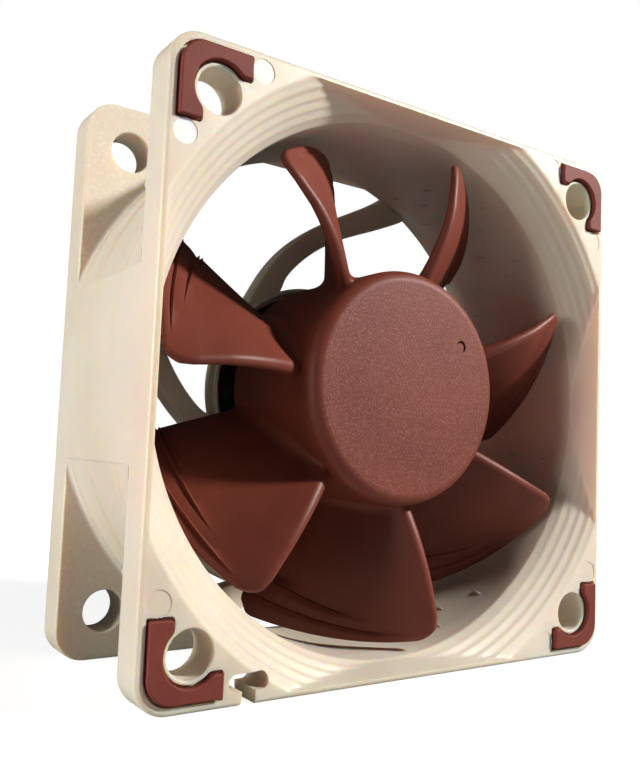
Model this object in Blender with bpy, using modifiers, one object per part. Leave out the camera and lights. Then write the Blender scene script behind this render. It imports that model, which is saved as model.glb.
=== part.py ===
"""A 60 mm square case fan with a seven-blade impeller, an outer-rotor motor and corner anti-vibration pads.

The fan stands on its bottom edge. Its axis runs along Y, the intake faces -Y, and Z is up.
"""

import math

import bmesh
import bpy
from mathutils import Matrix, Vector

MM = 0.001
TOUCH_GAP = 0.3
OVERSHOOT = 1.0

# Frame
SIDE = 60.0
DEPTH = 25.0
AXIS_HEIGHT = SIDE / 2
FLANGE = 4.0
CORNER_RADIUS = 3.2
TUBE_RADIUS = 31.3
BORE_RADIUS = 28.6
RIM_HALF_WIDTH = 29.4
EIGHTH_TURN_ANGLES = (0, 5, 10, 14, 17.4, 20, 24, 28, 32, 36, 39, 41.4, 42.6, 43.8)
HOLE_PITCH = 50.0
HOLE_RADIUS = 2.2
FRONT = -DEPTH / 2
REAR = DEPTH / 2

# Inner wall of the frame from the intake to the outlet, as (y, radius)
INTAKE_STEPS = (
    (FRONT, 32.6),
    (-11.5, 31.9),
    (-11.3, 30.7),
    (-10.7, 30.5),
    (-10.5, 29.8),
    (-9.7, 29.6),
    (-8.8, 29.0),
    (-7.0, BORE_RADIUS),
)
OUTLET_FLARE = ((6.5, BORE_RADIUS), (8.5, 28.9), (10.5, 30.0), (REAR, 31.9))

# Corner pads
PAD_EDGE = 29.0
PAD_END = 21.85
PAD_ARM = 2.2
PAD_CORNER_RADIUS = 2.4
PAD_ARC_RADIUS = 2.75
PAD_PROUD = 0.5
PAD_THICKNESS = 1.0
PAD_GAP = 0.25

# Cable slot through the front flange
SLOT_CENTRE_X = -19.0
SLOT_CENTRE_Z = -27.95
SLOT_LENGTH = 4.2
SLOT_HEIGHT = 1.6
SLOT_MOUTH = 1.4

# Motor base and its struts
BASE_RADIUS = 13.2
BASE_RIM = 0.6
BASE_FRONT = 8.6
BASE_FLOOR = 9.9
BASE_REAR = 11.2
BOSS_RADIUS = 4.6
BOSS_FRONT = 3.7
BOSS_END = 10.4
BASE_SOCKET = 3.5
STRUT_START_ANGLES = (115.0, 202.0, 300.0, 28.0)
STRUT_WIDTHS = (2.6, 2.6, 3.2, 2.6)
STRUT_FRONT = 8.8
STRUT_SPIRAL = 84.0
STRUT_START_RADIUS = 12.95
STRUT_END_RADIUS = 31.0
STRUT_STEPS = 14
SPIRAL_RADIUS = 14.5
GUIDE_RADIUS = 24.3
GUIDE_WIDTH = 1.1
GUIDE_OVERLAP = 1.0
GUIDE_SWEEP = 26.0
GUIDE_INSET = 0.3

# Impeller
BLADES = 7
FIRST_BLADE = 26.0
HUB_RADIUS = 12.6
HUB_WALL = 1.0
HUB_FRONT = -11.2
HUB_REAR = 5.0
CAP_INNER = -10.0
HUB_EDGE = 1.4
HUB_BOSS_RADIUS = 3.6
TIP_RADIUS = 27.6
ROOT_RADIUS = 12.15
LEADING_Y = (-8.6, -10.0)
LEADING_BULGE = -6.0
TRAILING_Y = (4.9, 4.6)
LEADING_ANGLE = (-3.0, 0.0)
TRAILING_ANGLE = (-38.0, -37.0)
LEADING_SWEEP = -3.0
CAMBER = 3.0
CAMBER_AT_ROOT = 0.4
BLADE_THICKNESS = (2.2, 1.1)
EDGE_THICKNESS = 0.3
LEADING_ROUND = 0.12
TIP_CORNER = 2.2
TIP_TRIM = 0.11
BLADE_ROWS = (ROOT_RADIUS, 14.0, 16.5, 19.0, 21.5, 24.0, 25.8, 26.7, 27.25, TIP_RADIUS)
BLADE_COLUMNS = (0.0, 0.05, 0.15, 0.3, 0.45, 0.6, 0.75, 0.9, 1.0)

# Rotor and shaft
YOKE_OUTER = 11.3
YOKE_INNER = 10.6
YOKE_FRONT = -9.7
YOKE_PLATE = -9.0
YOKE_REAR = 4.8
YOKE_HOLE = 3.9
MAGNET_OUTER = 10.3
MAGNET_INNER = 8.9
MAGNET_HALF = 4.2
SHAFT_RADIUS = 1.0
SHAFT_FRONT = -9.3
SHAFT_REAR = 8.9
GROOVE_RADIUS = 0.6
GROOVE = (7.6, 8.4)
BUSH_OUTER = 2.2
BUSH_INNER = 1.3
BUSH_FRONT = -9.4
BUSH_REAR = -7.0
SOCKET_RADIUS = 2.5
SOCKET_END = -9.7
CLIP_INNER = 0.9
CLIP_OUTER = 1.9
CLIP = (7.85, 8.15)

# Bearing
SHELL_OUTER = 3.2
SHELL_FRONT = -6.5
SHELL_REAR = 10.1
SLEEVE = (-5.6, 7.2)
SEAL = (-6.4, -5.9)
THRUST_PAD = (9.2, 9.8)

# Stator
CORE_HALF = 2.4
CORE_RING = 4.8
CORE_ARM = 1.1
CORE_SHOE_INNER = 7.8
CORE_OUTER = 8.5
SHOE_HALF_ANGLE = 36.0
CORE_BORE_HALF = 8.0
INSULATOR_THICKNESS = 0.7
INSULATOR_RING = 4.9
INSULATOR_ARM = 1.4
INSULATOR_OUTER = 8.1
INSULATOR_HALF_ANGLE = 14.5
EAR_CENTRE = 5.6
EAR_WIDTH = 2.4
EAR_HEIGHT = 1.6
COIL_RADII = (5.2, 6.9)
COIL_HALF_WIDTHS = (1.7, 2.8)
COIL_HALF_HEIGHTS = (3.7, 4.8)
COIL_CORNERS = (0.3, 1.1)
PIN_RADIUS = 0.35
PIN_CIRCLE = 6.0

# Circuit board
BOARD_OUTER = 12.2
BOARD_INNER = 4.9
BOARD_FRONT = 8.3
BOARD_REAR = 9.4
# Each component as name, radius and angle of its centre, and size along the radius, the axis and the turn
COMPONENTS = (
    ("hall_sensor", 9.6, 45, (1.6, 1.6, 3.0)),
    ("driver_chip", 9.0, 205, (3.9, 1.4, 4.9)),
    ("capacitor_1", 9.4, 285, (1.6, 1.2, 3.2)),
    ("capacitor_2", 9.4, 330, (1.6, 1.2, 3.2)),
)
LABEL_RADIUS = 11.6
LABEL_GAP = 0.25
LABEL_THICKNESS = 0.2


def clear_scene():
    for obj in list(bpy.data.objects):
        bpy.data.objects.remove(obj)


def collection(name):
    made = bpy.data.collections.new(name)
    bpy.context.scene.collection.children.link(made)
    return made


def material(name, colour, roughness, metallic=0.0):
    made = bpy.data.materials.new(name)
    made.use_nodes = True
    shader = made.node_tree.nodes["Principled BSDF"]
    shader.inputs["Base Color"].default_value = (*colour, 1.0)
    shader.inputs["Roughness"].default_value = roughness
    shader.inputs["Metallic"].default_value = metallic
    made.diffuse_color = (*colour, 1.0)
    return made


def polar(radius, degrees, y):
    """A point around the fan axis, in millimetres, with the axis through the origin."""
    angle = math.radians(degrees)
    return Vector((radius * math.cos(angle), y, radius * math.sin(angle)))


def add_object(name, mesh, place, surface=None):
    made = bpy.data.objects.new(name, mesh)
    made.location = (0, 0, AXIS_HEIGHT * MM)
    if surface:
        mesh.materials.append(surface)
    place.objects.link(made)
    return made


def mesh_object(name, points, faces, place, surface=None):
    """Builds a closed mesh from points in millimetres around the fan axis."""
    mesh = bpy.data.meshes.new(name)
    mesh.from_pydata([Vector(point) * MM for point in points], [], faces)
    shape = bmesh.new()
    shape.from_mesh(mesh)
    bmesh.ops.recalc_face_normals(shape, faces=shape.faces)
    shape.to_mesh(mesh)
    shape.free()
    return add_object(name, mesh, place, surface)


def prism(name, outline, y_front, y_rear, place, surface=None):
    """A flat outline of (x, z) points, drawn out along the fan axis."""
    return prisms(name, [(outline, y_front, y_rear)], place, surface)


def prisms(name, sections, place, surface=None):
    """One object of several separate prisms, each an outline with its two ends along the axis."""
    mesh = bpy.data.meshes.new(name)
    shape = bmesh.new()
    for outline, y_front, y_rear in sections:
        corners = [shape.verts.new(Vector((x, y_front, z)) * MM) for x, z in outline]
        drawn = bmesh.ops.extrude_face_region(shape, geom=[shape.faces.new(corners)])
        moved = [item for item in drawn["geom"] if isinstance(item, bmesh.types.BMVert)]
        bmesh.ops.translate(shape, verts=moved, vec=(0, (y_rear - y_front) * MM, 0))
    bmesh.ops.recalc_face_normals(shape, faces=shape.faces)
    shape.to_mesh(mesh)
    shape.free()
    return add_object(name, mesh, place, surface)


def circle(x, z, radius, steps):
    turns = [2 * math.pi * i / steps for i in range(steps)]
    return [(x + radius * math.cos(turn), z + radius * math.sin(turn)) for turn in turns]


def box(name, centre, size, turn, place, surface=None):
    """A box around a point, turned about the fan axis by an angle in degrees."""
    mesh = bpy.data.meshes.new(name)
    shape = bmesh.new()
    turned = Matrix.Rotation(-math.radians(turn), 4, "Y")
    scaled = Matrix.Diagonal((*(Vector(size) * MM), 1))
    bmesh.ops.create_cube(shape, size=1, matrix=Matrix.Translation(centre * MM) @ turned @ scaled)
    shape.to_mesh(mesh)
    shape.free()
    return add_object(name, mesh, place, surface)


def lathe(name, profile, steps, place, surface=None):
    """Turns a profile of (radius, y) about the fan axis. It runs down its outer side from the front."""
    mesh = bpy.data.meshes.new(name)
    points = [(radius * MM, 0, -y * MM) for radius, y in profile]
    closed = profile[0][0] > 0
    edges = [(i, i + 1) for i in range(len(points) - 1)]
    if closed:
        edges.append((len(points) - 1, 0))
    mesh.from_pydata(points, edges, [])
    made = add_object(name, mesh, place, surface)
    made.rotation_euler = (math.radians(90), 0, 0)
    turn = made.modifiers.new("turn", "SCREW")
    turn.axis = "Z"
    turn.steps = steps
    turn.render_steps = steps
    turn.use_merge_vertices = True
    turn.merge_threshold = 0.00001
    return made


def ring(name, inner, outer, y_front, y_rear, steps, place, surface=None):
    profile = [(inner, y_front), (outer, y_front), (outer, y_rear), (inner, y_rear)]
    return lathe(name, profile, steps, place, surface)


def disc(name, radius, y_front, y_rear, steps, place, surface=None):
    profile = [(0, y_front), (radius, y_front), (radius, y_rear), (0, y_rear)]
    return lathe(name, profile, steps, place, surface)


def combine(target, other, operation):
    step = target.modifiers.new(operation.lower() + "_" + other.name, "BOOLEAN")
    step.operation = operation
    step.object = other
    step.solver = "EXACT"


def rounded_square_radius(degrees, half, corner):
    """Distance from the axis to the outline of a square with round corners."""
    angle = math.radians(degrees)
    across = abs(math.cos(angle))
    up = abs(math.sin(angle))
    flat = half / max(across, up)
    if min(across, up) * flat <= half - corner:
        return flat
    centre = (half - corner) * (across + up)
    return centre + math.sqrt(corner * corner - 2 * (half - corner) ** 2 + centre * centre)


def frame_angles():
    """Angles of the frame's outline, closer together round the four corners."""
    eighth = list(EIGHTH_TURN_ANGLES)
    quarter = eighth + [45] + [90 - angle for angle in reversed(eighth[1:])]
    return [angle + 90 * turn for turn in range(4) for angle in quarter]


def frame_shell(place, surface):
    """The two square flanges, the tube between them and the stepped intake, as one closed wall."""
    angles = frame_angles()

    def flange(degrees):
        return rounded_square_radius(degrees, SIDE / 2, CORNER_RADIUS)

    def tube(degrees):
        return min(TUBE_RADIUS, rounded_square_radius(degrees, SIDE / 2, CORNER_RADIUS))

    def bore(radius):
        return lambda degrees: min(radius, rounded_square_radius(degrees, RIM_HALF_WIDTH, CORNER_RADIUS))

    rings = [
        (FRONT, flange),
        (FRONT + FLANGE, flange),
        (FRONT + FLANGE, tube),
        (REAR - FLANGE, tube),
        (REAR - FLANGE, flange),
        (REAR, flange),
    ]
    for y, radius in reversed(INTAKE_STEPS + OUTLET_FLARE):
        rings.append((y, bore(radius)))
    points = []
    for y, outline in rings:
        points.extend(polar(outline(degrees), degrees, y) for degrees in angles)
    count = len(angles)
    faces = []
    for row in range(len(rings)):
        after = (row + 1) % len(rings)
        for i in range(count):
            j = (i + 1) % count
            faces.append((row * count + i, row * count + j, after * count + j, after * count + i))
    shell = mesh_object("frame", points, faces, place, surface)
    shape = bmesh.new()
    shape.from_mesh(shell.data)
    bmesh.ops.remove_doubles(shape, verts=shape.verts, dist=0.000001)
    bmesh.ops.dissolve_degenerate(shape, edges=shape.edges, dist=0.000001)
    shape.to_mesh(shell.data)
    shape.free()
    return shell


def spiral_angle(start, radius):
    return start - STRUT_SPIRAL * math.log(radius / SPIRAL_RADIUS)


def strut_outline(start, width):
    """A curved strut from the motor base to the tube wall, leaning against the turn of the blades."""
    half = width / 2 * math.hypot(1, math.radians(STRUT_SPIRAL))
    left = []
    right = []
    for i in range(STRUT_STEPS + 1):
        radius = STRUT_START_RADIUS + (STRUT_END_RADIUS - STRUT_START_RADIUS) * i / STRUT_STEPS
        middle = spiral_angle(start, radius)
        spread = math.degrees(half / radius)
        left.append(polar(radius, middle + spread, 0))
        right.append(polar(radius, middle - spread, 0))
    return [(point.x, point.z) for point in left + right[::-1]]


def wire_guide_outline():
    """A finger beside the third strut, which holds the leads against the motor base's strut."""
    start = spiral_angle(STRUT_START_ANGLES[2], GUIDE_RADIUS) + GUIDE_OVERLAP
    angles = [start - GUIDE_SWEEP * i / 8 for i in range(9)]
    outer = [polar(GUIDE_RADIUS + GUIDE_WIDTH / 2, degrees, 0) for degrees in angles]
    inner = [polar(GUIDE_RADIUS - GUIDE_WIDTH / 2, degrees, 0) for degrees in reversed(angles)]
    return [(point.x, point.z) for point in outer + inner]


def pad_outline(turn, gap):
    """The outline of a corner pad, or of its pocket when the gap is above zero."""
    edge = PAD_EDGE + gap
    end = PAD_END - gap
    inner = PAD_EDGE - PAD_ARM - gap
    corner = PAD_CORNER_RADIUS + gap
    arc = PAD_ARC_RADIUS - gap
    hole = HOLE_PITCH / 2
    outline = [(end, edge)]
    for i in range(6):
        angle = math.radians(90 - 18 * i)
        x = edge - corner + corner * math.cos(angle)
        z = edge - corner + corner * math.sin(angle)
        outline.append((x, z))
    outline.extend([(edge, end), (inner, end)])
    first = -math.acos((inner - hole) / arc)
    last = math.pi / 2 - first
    for i in range(11):
        angle = first + (last - first) * i / 10
        outline.append((hole + arc * math.cos(angle), hole + arc * math.sin(angle)))
    outline.append((end, inner))
    cosine = round(math.cos(math.radians(turn)))
    sine = round(math.sin(math.radians(turn)))
    return [(x * cosine - z * sine, x * sine + z * cosine) for x, z in outline]


def cable_slot_outline():
    half = SLOT_LENGTH / 2
    radius = SLOT_HEIGHT / 2
    mouth = SLOT_MOUTH / 2
    outline = []
    for side in (1, -1):
        for i in range(7):
            angle = math.radians(-90 + 30 * i) if side > 0 else math.radians(90 + 30 * i)
            x = SLOT_CENTRE_X + side * (half - radius) + radius * math.cos(angle)
            outline.append((x, SLOT_CENTRE_Z + radius * math.sin(angle)))
    bottom = -SIDE / 2 - OVERSHOOT
    outline.append((SLOT_CENTRE_X - mouth, SLOT_CENTRE_Z - radius))
    outline.append((SLOT_CENTRE_X - mouth, bottom))
    outline.append((SLOT_CENTRE_X + mouth, bottom))
    outline.append((SLOT_CENTRE_X + mouth, SLOT_CENTRE_Z - radius))
    return outline


def build_frame(place, helpers, surface):
    frame = frame_shell(place, surface)
    base_profile = [
        (0, BOSS_END),
        (BASE_SOCKET, BOSS_END),
        (BASE_SOCKET, BOSS_FRONT),
        (BOSS_RADIUS, BOSS_FRONT),
        (BOSS_RADIUS, BASE_FLOOR),
        (BASE_RADIUS - BASE_RIM, BASE_FLOOR),
        (BASE_RADIUS - BASE_RIM, BASE_FRONT),
        (BASE_RADIUS, BASE_FRONT),
        (BASE_RADIUS, BASE_REAR),
        (0, BASE_REAR),
    ]
    combine(frame, lathe("motor_base", base_profile, 48, helpers), "UNION")
    for i, (start, width) in enumerate(zip(STRUT_START_ANGLES, STRUT_WIDTHS)):
        outline = strut_outline(start, width)
        combine(frame, prism(f"strut_{i + 1}", outline, STRUT_FRONT, BASE_REAR, helpers), "UNION")
    guide_ends = (STRUT_FRONT + GUIDE_INSET, BASE_REAR - GUIDE_INSET)
    combine(frame, prism("wire_guide", wire_guide_outline(), *guide_ends, helpers), "UNION")
    combine(frame, build_holes_and_pockets(helpers), "DIFFERENCE")
    return frame


def build_holes_and_pockets(helpers):
    """The cutter of the cable slot, the screw holes and the pads' pockets in both flanges."""
    front_flange = (FRONT - OVERSHOOT, FRONT + FLANGE + OVERSHOOT)
    rear_flange = (REAR - FLANGE - OVERSHOOT, REAR + OVERSHOOT)
    cuts = [(cable_slot_outline(), *front_flange)]
    depth = PAD_THICKNESS - PAD_PROUD + PAD_GAP
    middle = HOLE_PITCH / 2
    for turn, x, z in ((0, 1, 1), (90, -1, 1), (180, -1, -1), (270, 1, -1)):
        hole = circle(x * middle, z * middle, HOLE_RADIUS, 24)
        cuts.append((hole, *front_flange))
        cuts.append((hole, *rear_flange))
        pocket = pad_outline(turn, PAD_GAP)
        cuts.append((pocket, FRONT - OVERSHOOT, FRONT + depth))
        cuts.append((pocket, REAR - depth, REAR + OVERSHOOT))
    return prisms("holes_and_pockets", cuts, helpers)


def build_pads(place, surface):
    corners = ("upper_right", "upper_left", "lower_left", "lower_right")
    for turn, corner in zip((0, 90, 180, 270), corners):
        outline = pad_outline(turn, 0)
        inward = PAD_THICKNESS - PAD_PROUD
        prism(f"front_pad_{corner}", outline, FRONT - PAD_PROUD, FRONT + inward, place, surface)
        prism(f"rear_pad_{corner}", outline, REAR - inward, REAR + PAD_PROUD, place, surface)


def between(ends, share):
    return ends[0] + (ends[1] - ends[0]) * share


def blade_point(radius, chord, side):
    """A point on one side of the blade. The chord share runs from the leading to the trailing edge."""
    share = (radius - HUB_RADIUS) / (TIP_RADIUS - HUB_RADIUS)
    bow = share * (1 - share)
    leading_y = between(LEADING_Y, share) + LEADING_BULGE * bow
    leading_angle = between(LEADING_ANGLE, share) + LEADING_SWEEP * bow
    inset = max(0.0, (radius - TIP_RADIUS + TIP_CORNER) / TIP_CORNER)
    trim = TIP_TRIM * (1 - math.sqrt(max(0.0, 1 - inset * inset)))
    place = trim + (1 - 2 * trim) * chord
    y = between((leading_y, between(TRAILING_Y, share)), place)
    degrees = between((leading_angle, between(TRAILING_ANGLE, share)), place)
    degrees -= CAMBER * 4 * place * (1 - place) * between((CAMBER_AT_ROOT, 1), share)
    slope_y = between(TRAILING_Y, share) - leading_y
    slope_arc = radius * math.radians(between(TRAILING_ANGLE, share) - leading_angle)
    length = math.hypot(slope_y, slope_arc)
    full = between(BLADE_THICKNESS, share)
    rounding = math.sin(math.pi * min(1.0, between((LEADING_ROUND, 1), chord))) ** 0.6
    thick = full * between((EDGE_THICKNESS, 1), rounding)
    offset = side * thick / 2
    y += offset * slope_arc / length
    degrees -= math.degrees(offset * slope_y / length / radius)
    return degrees, y


def blade(index, place):
    turn = FIRST_BLADE + 360 * index / BLADES
    points = []
    for side in (1, -1):
        for radius in BLADE_ROWS:
            for chord in BLADE_COLUMNS:
                degrees, y = blade_point(radius, chord, side)
                points.append(polar(radius, turn + degrees, y))
    wide = len(BLADE_COLUMNS)
    tall = len(BLADE_ROWS)
    sheet = tall * wide
    faces = []
    for row in range(tall - 1):
        for column in range(wide - 1):
            corner = row * wide + column
            face = (corner, corner + 1, corner + wide + 1, corner + wide)
            faces.append(face)
            faces.append(tuple(sheet + i for i in reversed(face)))
    border = [row * wide for row in range(tall)]
    border += [(tall - 1) * wide + column for column in range(1, wide)]
    border += [row * wide + wide - 1 for row in range(tall - 2, -1, -1)]
    border += list(range(wide - 2, 0, -1))
    for i, corner in enumerate(border):
        after = border[(i + 1) % len(border)]
        faces.append((corner, after, sheet + after, sheet + corner))
    return mesh_object(f"blade_{index + 1}", points, faces, place)


def build_impeller(place, helpers, surface):
    edge = []
    for angle in (0, 30, 60, 90):
        round_edge = polar(HUB_EDGE, 90 - angle, 0)
        edge.append((HUB_RADIUS - HUB_EDGE + round_edge.x, HUB_FRONT + HUB_EDGE - round_edge.z))
    profile = [
        (0, HUB_FRONT),
        *edge,
        (HUB_RADIUS, HUB_REAR),
        (HUB_RADIUS - HUB_WALL, HUB_REAR),
        (HUB_RADIUS - HUB_WALL, CAP_INNER),
        (HUB_BOSS_RADIUS, CAP_INNER),
        (HUB_BOSS_RADIUS, BUSH_REAR),
        (SOCKET_RADIUS, BUSH_REAR),
        (SOCKET_RADIUS, SOCKET_END),
        (0, SOCKET_END),
    ]
    impeller = lathe("impeller", profile, 56, place, surface)
    for index in range(BLADES):
        combine(impeller, blade(index, helpers), "UNION")
    return impeller


def build_rotor(place, steel, magnetic, brass):
    yoke = [
        (YOKE_HOLE, YOKE_FRONT),
        (YOKE_OUTER, YOKE_FRONT),
        (YOKE_OUTER, YOKE_REAR),
        (YOKE_INNER, YOKE_REAR),
        (YOKE_INNER, YOKE_PLATE),
        (YOKE_HOLE, YOKE_PLATE),
    ]
    lathe("rotor_yoke", yoke, 40, place, steel)
    ring("ring_magnet", MAGNET_INNER, MAGNET_OUTER, -MAGNET_HALF, MAGNET_HALF, 40, place, magnetic)
    ring("shaft_bush", BUSH_INNER, BUSH_OUTER, BUSH_FRONT, BUSH_REAR, 20, place, brass)
    shaft = [
        (0, SHAFT_FRONT),
        (SHAFT_RADIUS, SHAFT_FRONT),
        (SHAFT_RADIUS, GROOVE[0]),
        (GROOVE_RADIUS, GROOVE[0]),
        (GROOVE_RADIUS, GROOVE[1]),
        (SHAFT_RADIUS, GROOVE[1]),
        (SHAFT_RADIUS, SHAFT_REAR),
        (0, SHAFT_REAR),
    ]
    lathe("rotor_shaft", shaft, 20, place, steel)
    ring("shaft_clip", CLIP_INNER, CLIP_OUTER, *CLIP, 20, place, steel)


def build_bearing(place, brass, bronze, rubber, nylon):
    ring("bearing_shell", SOCKET_RADIUS, SHELL_OUTER, SHELL_FRONT, SHELL_REAR, 28, place, brass)
    ring("sleeve_bearing", BUSH_INNER, BUSH_OUTER, *SLEEVE, 20, place, bronze)
    ring("oil_seal", BUSH_INNER, BUSH_OUTER, *SEAL, 20, place, rubber)
    disc("thrust_pad", BUSH_OUTER, *THRUST_PAD, 20, place, nylon)


def star_outline(ring_radius, half_width, tip_inner, tip_outer, tip_half_angle):
    """Four arms with curved shoes on a round hub, as one outline."""
    outline = []
    root = math.degrees(math.asin(half_width / ring_radius))
    neck = math.degrees(math.asin(half_width / tip_inner))
    for arm in range(4):
        turn = 90 * arm
        outline.append(polar(ring_radius, turn - root, 0))
        outline.append(polar(tip_inner, turn - neck, 0))
        outline.append(polar(tip_inner, turn - (neck + tip_half_angle) / 2, 0))
        outline.append(polar(tip_inner, turn - tip_half_angle, 0))
        for i in range(9):
            outline.append(polar(tip_outer, turn - tip_half_angle + tip_half_angle * i / 4, 0))
        outline.append(polar(tip_inner, turn + tip_half_angle, 0))
        outline.append(polar(tip_inner, turn + (neck + tip_half_angle) / 2, 0))
        outline.append(polar(tip_inner, turn + neck, 0))
        outline.append(polar(ring_radius, turn + root, 0))
        gap = 90 - 2 * root
        for i in (1, 2, 3):
            outline.append(polar(ring_radius, turn + root + gap * i / 4, 0))
    return [(point.x, point.z) for point in outline]


def build_stator(place, helpers, iron, nylon, copper, tin):
    bore = disc("stator_bore", BASE_SOCKET, -CORE_BORE_HALF, CORE_BORE_HALF, 28, helpers)
    outline = star_outline(CORE_RING, CORE_ARM, CORE_SHOE_INNER, CORE_OUTER, SHOE_HALF_ANGLE)
    core = prism("stator_core", outline, -CORE_HALF, CORE_HALF, place, iron)
    combine(core, bore, "DIFFERENCE")
    outline = star_outline(
        INSULATOR_RING, INSULATOR_ARM, CORE_SHOE_INNER, INSULATOR_OUTER, INSULATOR_HALF_ANGLE
    )
    near = CORE_HALF + TOUCH_GAP
    far = near + INSULATOR_THICKNESS
    front = prism("front_insulator", outline, -far, -near, place, nylon)
    combine(front, bore, "DIFFERENCE")
    rear = prism("rear_insulator", outline, near, far, place, nylon)
    pin_ends = (far + TOUCH_GAP, BOARD_FRONT - TOUCH_GAP)
    for i in range(4):
        turn = 45 + 90 * i
        ear = box(
            f"ear_{i + 1}",
            polar(EAR_CENTRE, turn, (near + far) / 2),
            (EAR_WIDTH, INSULATOR_THICKNESS, EAR_HEIGHT),
            turn,
            helpers,
        )
        combine(rear, ear, "UNION")
        coil(f"coil_{i + 1}", 90 * i, place, copper)
        pin = disc(f"winding_pin_{i + 1}", PIN_RADIUS, *pin_ends, 12, place, tin)
        pin.location += polar(PIN_CIRCLE, turn, 0) * MM
    combine(rear, bore, "DIFFERENCE")


def coil(name, turn, place, surface):
    """A winding round one stator arm, with rounded outer corners."""
    inner_width, outer_width = COIL_HALF_WIDTHS
    inner_height, outer_height = COIL_HALF_HEIGHTS
    inside = []
    outside = []
    for quarter in range(4):
        across = 1 if quarter in (0, 3) else -1
        up = 1 if quarter in (0, 1) else -1
        for i in range(4):
            angle = math.radians(90 * quarter + 30 * i)
            for loop, width, height, radius in (
                (inside, inner_width, inner_height, COIL_CORNERS[0]),
                (outside, outer_width, outer_height, COIL_CORNERS[1]),
            ):
                x = across * (width - radius) + radius * math.cos(angle)
                y = up * (height - radius) + radius * math.sin(angle)
                loop.append((x, y))
    rotation = Matrix.Rotation(-math.radians(turn), 3, "Y")
    points = []
    for radius in COIL_RADII:
        for loop in (inside, outside):
            points.extend(rotation @ Vector((radius, height, width)) for width, height in loop)
    count = len(inside)
    faces = []
    order = ((0, 1), (1, 3), (3, 2), (2, 0))
    for i in range(count):
        after = (i + 1) % count
        for first, second in order:
            near = (first * count + i, first * count + after)
            far = (second * count + after, second * count + i)
            faces.append(near + far)
    return mesh_object(name, points, faces, place, surface)


def build_electronics(place, board, black, tan, paper):
    ring("circuit_board", BOARD_INNER, BOARD_OUTER, BOARD_FRONT, BOARD_REAR, 40, place, board)
    surfaces = {"hall_sensor": black, "driver_chip": black, "capacitor_1": tan, "capacitor_2": tan}
    for name, radius, turn, size in COMPONENTS:
        centre = polar(radius, turn, BOARD_FRONT - TOUCH_GAP - size[1] / 2)
        box(name, centre, size, turn, place, surfaces[name])
    label_front = BASE_REAR + LABEL_GAP
    disc("rear_label", LABEL_RADIUS, label_front, label_front + LABEL_THICKNESS, 40, place, paper)


def main():
    clear_scene()
    fan = collection("case_fan")
    helpers = collection("cutters")
    helpers.hide_render = True
    cream = material("frame_plastic", (0.76, 0.67, 0.53), 0.45)
    maroon = material("impeller_plastic", (0.185, 0.045, 0.03), 0.4)
    rubber = material("pad_rubber", (0.19, 0.045, 0.035), 0.7)
    steel = material("steel", (0.55, 0.55, 0.56), 0.3, 1.0)
    magnetic = material("magnet_ferrite", (0.05, 0.05, 0.055), 0.6)
    brass = material("brass", (0.75, 0.55, 0.25), 0.3, 1.0)
    bronze = material("sintered_bronze", (0.45, 0.28, 0.14), 0.55, 1.0)
    seal = material("seal_rubber", (0.03, 0.03, 0.03), 0.8)
    nylon = material("nylon", (0.8, 0.8, 0.76), 0.5)
    iron = material("silicon_steel", (0.35, 0.35, 0.36), 0.45, 1.0)
    copper = material("enamelled_copper", (0.55, 0.2, 0.08), 0.3, 1.0)
    tin = material("tinned_wire", (0.7, 0.7, 0.68), 0.3, 1.0)
    board = material("board_laminate", (0.012, 0.02, 0.016), 0.5)
    black = material("chip_package", (0.03, 0.03, 0.03), 0.5)
    tan = material("capacitor_ceramic", (0.5, 0.36, 0.2), 0.5)
    paper = material("label_film", (0.6, 0.6, 0.58), 0.5)
    build_frame(fan, helpers, cream)
    build_pads(fan, rubber)
    build_impeller(fan, helpers, maroon)
    build_rotor(fan, steel, magnetic, brass)
    build_bearing(fan, brass, bronze, seal, nylon)
    build_stator(fan, helpers, iron, nylon, copper, tin)
    build_electronics(fan, board, black, tan, paper)
    for helper in helpers.objects:
        helper.hide_render = True
        helper.display_type = "WIRE"


main()
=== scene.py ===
"""The looks of the case fan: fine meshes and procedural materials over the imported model, in a studio."""

import math

import bmesh
import bpy
import numpy as np
from mathutils import Matrix, Vector


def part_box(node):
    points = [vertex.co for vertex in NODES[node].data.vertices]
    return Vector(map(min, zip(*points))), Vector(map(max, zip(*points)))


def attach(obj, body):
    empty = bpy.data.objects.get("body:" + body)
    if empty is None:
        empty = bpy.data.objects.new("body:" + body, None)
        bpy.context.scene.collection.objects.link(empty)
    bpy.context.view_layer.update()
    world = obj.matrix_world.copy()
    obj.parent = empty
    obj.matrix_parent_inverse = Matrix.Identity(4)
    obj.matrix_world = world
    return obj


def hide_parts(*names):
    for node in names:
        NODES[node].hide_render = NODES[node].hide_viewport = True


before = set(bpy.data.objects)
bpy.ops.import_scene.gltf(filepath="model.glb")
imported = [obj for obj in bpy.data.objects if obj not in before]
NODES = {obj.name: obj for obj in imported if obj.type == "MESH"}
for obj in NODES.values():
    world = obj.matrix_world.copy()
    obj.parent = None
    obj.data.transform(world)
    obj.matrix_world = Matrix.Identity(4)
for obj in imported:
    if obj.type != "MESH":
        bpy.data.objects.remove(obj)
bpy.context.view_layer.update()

MM = 0.001
STATOR_BODY = "frame_assembly"
ROTOR_BODY = "rotor"

# Sizes in millimetres. The axis runs along Y through the frame's middle, and paths are (y, radius).
low, high = (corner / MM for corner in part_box("frame"))
SIDE_HALF = high.x
FRONT = low.y
REAR = high.y
AXIS_Z = (low.z + high.z) / 2
FLANGE = 4.0
CORNER_RADIUS = 3.2
TUBE_RADIUS = 31.3
BAND_DEPTH = 0.3
BANDS = ((-7.0, -4.25), (-2.75, 2.75), (4.5, 7.5))
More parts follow.
